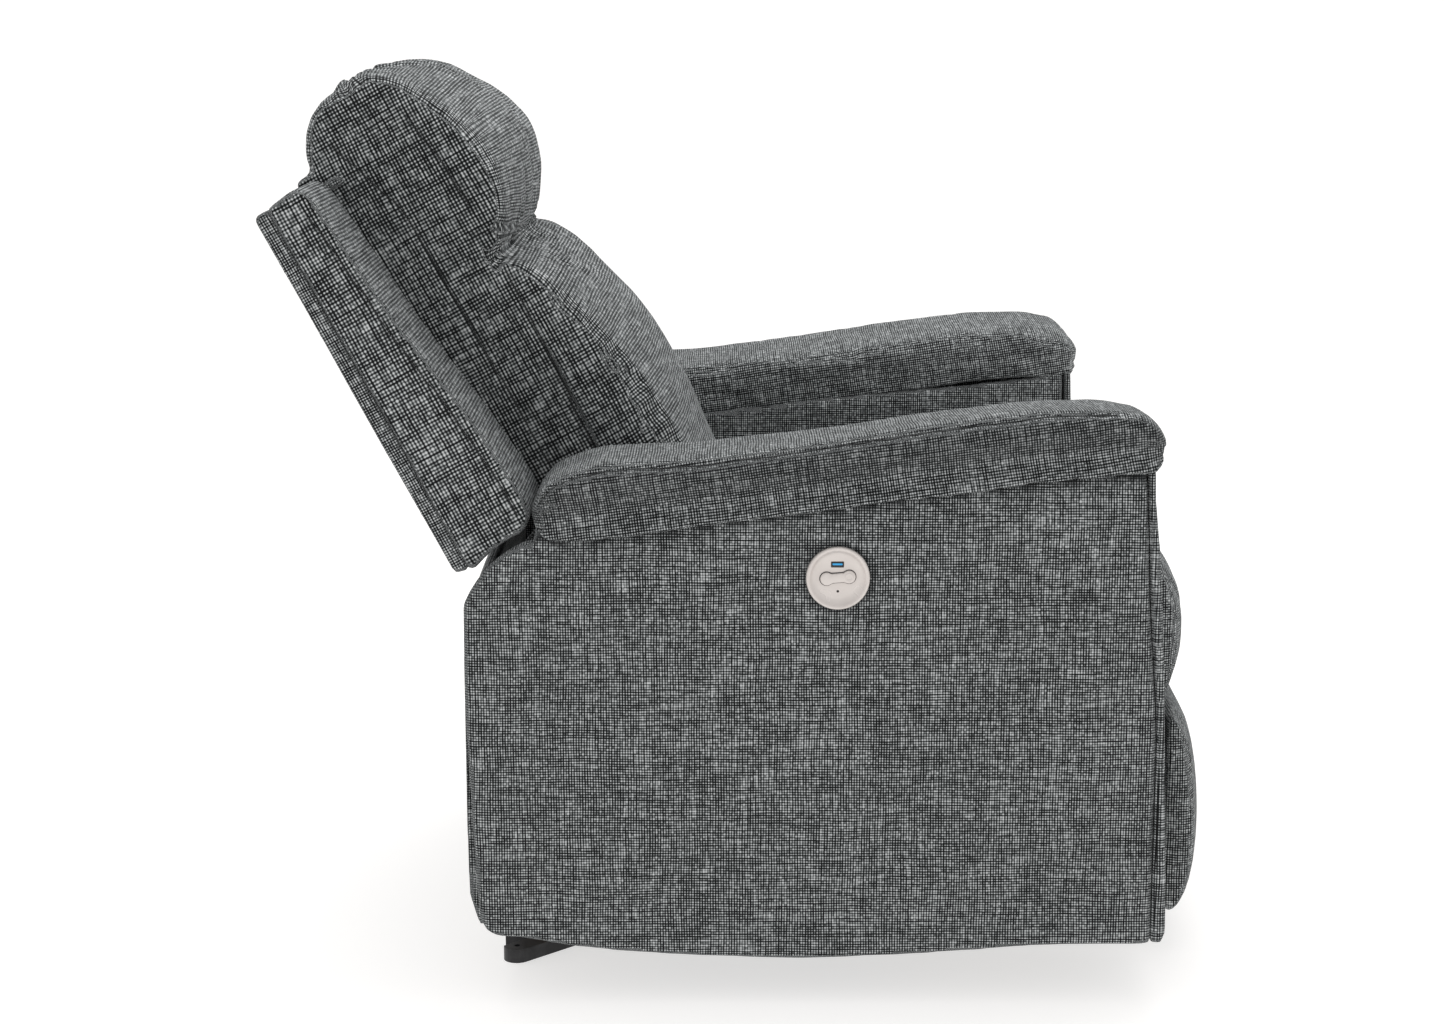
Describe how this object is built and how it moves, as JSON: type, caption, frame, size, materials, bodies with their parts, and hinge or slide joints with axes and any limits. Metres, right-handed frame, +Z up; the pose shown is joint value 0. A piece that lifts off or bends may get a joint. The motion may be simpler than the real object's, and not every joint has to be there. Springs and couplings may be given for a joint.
{
  "type": "power rocker recliner armchair",
  "caption": "Upholstered rocker recliner armchair with pillow-top arms, a bolstered back and head pillow, a power control on one arm and a folding footrest.",
  "frame": {"origin": "on the floor under the middle of the chair's overall box at rest", "axes": "+Z up, the chair faces -Y, +X to the sitter's left"},
  "size_m": [0.936, 1.0569, 1.0263],
  "materials": {
    "cushion_fabric": "charcoal grey chenille with light and dark slubs",
    "panel_fabric": "charcoal grey chenille with light and dark slubs, pulled flat",
    "black_steel": "satin black powder coat",
    "zinc_steel": "zinc plated",
    "rail_steel": "rolled steel",
    "timber": "raw plywood and hardwood",
    "champagne_plastic": "satin champagne",
    "black_plastic": "matt black"
  },
  "bodies": {
    "base": {"base_rail_left": "black_steel", "base_rail_right": "black_steel", "base_cross_front": "black_steel", "base_cross_rear": "black_steel", "rocker_spring_left": "zinc_steel", "rocker_spring_right": "zinc_steel"},
    "chassis": {"rocker_cam_left": "black_steel", "rocker_cam_right": "black_steel", "cross_rail_front": "timber", "cross_rail_rear": "timber", "mechanism_plate_left": "black_steel", "mechanism_plate_right": "black_steel", "seat_track_left": "black_steel", "seat_track_right": "black_steel", "side_panel_left": "panel_fabric", "side_panel_right": "panel_fabric", "arm_front_left": "panel_fabric", "arm_front_right": "panel_fabric", "inner_arm_panel_left": "panel_fabric", "inner_arm_panel_right": "panel_fabric", "arm_pad_left": "cushion_fabric", "arm_pad_right": "cushion_fabric", "rear_panel": "panel_fabric", "control_bezel": "champagne_plastic", "control_cup": "black_plastic", "usb_port": "black_plastic", "actuator_rail": "rail_steel", "actuator_motor": "black_plastic", "power_inlet": "black_plastic"},
    "rocker_switch": {"rocker_switch": "champagne_plastic"},
    "seat": {"seat_frame": "black_steel", "seat_spring_1": "zinc_steel", "seat_spring_2": "zinc_steel", "seat_spring_3": "zinc_steel", "seat_spring_4": "zinc_steel", "seat_cushion": "cushion_fabric"},
    "back": {"back_frame": "black_steel", "back_spring_1": "zinc_steel", "back_spring_2": "zinc_steel", "back_bracket_left": "black_steel", "back_bracket_right": "black_steel", "back_wing_left": "panel_fabric", "back_wing_right": "panel_fabric", "back_outer_panel": "panel_fabric", "lumbar_cushion": "cushion_fabric", "head_pillow": "cushion_fabric"},
    "footrest_drive": {"torque_tube": "black_steel", "drive_link_left": "zinc_steel", "drive_link_right": "zinc_steel"},
    "footrest_idler": {"idler_link_left": "zinc_steel", "idler_link_right": "zinc_steel"},
    "footrest_front_links": {"front_link_left": "zinc_steel", "front_link_right": "zinc_steel", "filler_pad": "cushion_fabric"},
    "footrest": {"footrest_bracket_left": "black_steel", "footrest_bracket_right": "black_steel", "footrest_board": "timber", "footrest_pad": "cushion_fabric"},
    "actuator_carriage": {"actuator_carriage": "black_plastic"},
    "push_rod": {"push_rod": "black_steel"}
  },
  "joints": [
    {"name": "rocking", "type": "hinge", "parent": "base", "child": "chassis", "pos_m": [0, 0, 0.0185], "axis": [-1, 0, 0], "range_deg": [-4, 8], "stiffness_Nm_per_rad": 1400, "deforming": ["rocker_spring_left", "rocker_spring_right"]},
    {"name": "seat_glide", "type": "slide", "parent": "chassis", "child": "seat", "axis": [0, -1, 0], "range_m": [0, 0.045]},
    {"name": "back_recline", "type": "hinge", "parent": "chassis", "child": "back", "pos_m": [0, 0.2, 0.4], "axis": [-1, 0, 0], "range_deg": [0, 30]},
    {"name": "footrest_extension", "type": "hinge", "parent": "chassis", "child": "footrest_drive", "pos_m": [0, -0.3154, 0.2774], "axis": [-1, 0, 0], "range_deg": [0, 82.37]},
    {"name": "footrest_idler_turn", "type": "hinge", "parent": "chassis", "child": "footrest_idler", "pos_m": [0, -0.345, 0.247], "axis": [-1, 0, 0], "range_deg": [0, 88.51]},
    {"name": "footrest_elbow", "type": "hinge", "parent": "footrest_drive", "child": "footrest_front_links", "pos_m": [0, -0.342, 0.0666], "axis": [1, 0, 0], "range_deg": [0, 125.68]},
    {"name": "footrest_wrist", "type": "hinge", "parent": "footrest_front_links", "child": "footrest", "pos_m": [0, -0.44, 0.217], "axis": [-1, 0, 0], "range_deg": [0, 138.31]},
    {"name": "actuator_carriage_slide", "type": "slide", "parent": "chassis", "child": "actuator_carriage", "axis": [0, -1, 0], "range_m": [0, 0.0649]},
    {"name": "push_rod_turn", "type": "hinge", "parent": "actuator_carriage", "child": "push_rod", "pos_m": [0, -0.1569, 0.2375], "axis": [1, 0, 0], "range_deg": [0, 4.9]},
    {"name": "rocker_switch_turn", "type": "hinge", "parent": "chassis", "child": "rocker_switch", "pos_m": [-0.4418, -0.082, 0.484], "axis": [0, 0.1219, 0.9925], "range_deg": [-4, 4], "stiffness_Nm_per_rad": 0.3}
  ],
  "couplings": [
    {"joint": "seat_glide", "follows": "back_recline", "m_per_rad": 0.08593},
    {"joint": "footrest_idler_turn", "follows": "footrest_extension", "ratio": 1.0744},
    {"joint": "footrest_elbow", "follows": "footrest_extension", "ratio": 1.5257},
    {"joint": "footrest_wrist", "follows": "footrest_extension", "ratio": 1.679},
    {"joint": "actuator_carriage_slide", "follows": "footrest_extension", "m_per_rad": 0.04507},
    {"joint": "push_rod_turn", "follows": "footrest_extension", "ratio": 0.05827}
  ]
}
